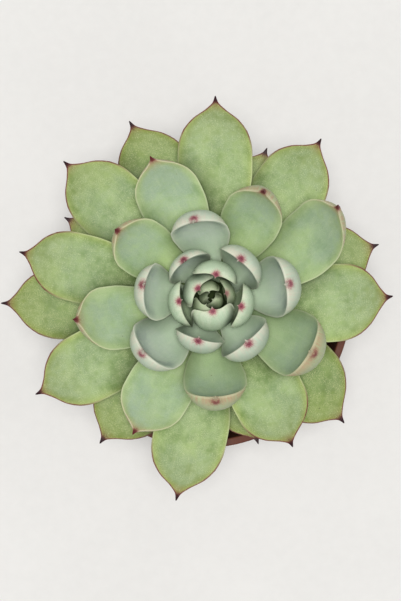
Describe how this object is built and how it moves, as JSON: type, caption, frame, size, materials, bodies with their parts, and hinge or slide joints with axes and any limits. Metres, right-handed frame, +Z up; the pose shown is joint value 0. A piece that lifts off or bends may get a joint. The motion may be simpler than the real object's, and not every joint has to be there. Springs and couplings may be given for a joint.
{
  "type": "potted succulent",
  "caption": "Fleshy-leaved succulent rosette on a short stem, growing in soil in a small round tapered nursery pot with a rim band and drain holes.",
  "frame": {"origin": "centre of the pot's flat underside, on the surface it stands on", "axes": "+Z up along the pot's axis, +Y towards the top of the picture taken from above, +X to its right"},
  "size_m": [0.1147, 0.1171, 0.1301],
  "materials": {
    "pot_plastic": "satin red-brown moulded plastic",
    "potting_soil": "loose dark potting mix with pale grit",
    "stem_bark": "dull green-brown bark with leaf scars",
    "leaf_outer": "waxy yellow-green skin, brown-red margin and dark tip",
    "leaf_full_grown": "waxy green skin with pale specks, red margin and dark tip",
    "leaf_middle": "waxy skin with a thin blue-green bloom and a pink-cream margin",
    "leaf_young": "blue-green bloom, cream edge and magenta tip",
    "leaf_bud": "pale mint bloom and pink tip"
  },
  "bodies": {
    "root": {"pot": "pot_plastic", "soil": "potting_soil", "stem": "stem_bark", "leaf_01": "leaf_outer", "leaf_02": "leaf_outer", "leaf_03": "leaf_outer", "leaf_04": "leaf_outer", "leaf_05": "leaf_outer", "leaf_06": "leaf_outer", "leaf_07": "leaf_outer", "leaf_08": "leaf_outer", "leaf_09": "leaf_full_grown", "leaf_10": "leaf_full_grown", "leaf_11": "leaf_full_grown", "leaf_12": "leaf_full_grown", "leaf_13": "leaf_full_grown", "leaf_14": "leaf_full_grown", "leaf_15": "leaf_full_grown", "leaf_16": "leaf_full_grown", "leaf_17": "leaf_middle", "leaf_18": "leaf_middle", "leaf_19": "leaf_middle", "leaf_20": "leaf_middle", "leaf_21": "leaf_middle", "leaf_22": "leaf_middle", "leaf_23": "leaf_middle", "leaf_24": "leaf_middle", "leaf_25": "leaf_young", "leaf_26": "leaf_young", "leaf_27": "leaf_young", "leaf_28": "leaf_young", "leaf_29": "leaf_young", "leaf_30": "leaf_young", "leaf_31": "leaf_young", "leaf_32": "leaf_young", "leaf_33": "leaf_bud", "leaf_34": "leaf_bud", "leaf_35": "leaf_bud", "leaf_36": "leaf_bud", "leaf_37": "leaf_bud", "leaf_38": "leaf_bud", "leaf_39": "leaf_bud", "leaf_40": "leaf_bud", "leaf_41": "leaf_bud", "leaf_42": "leaf_bud"}
  },
  "joints": []
}
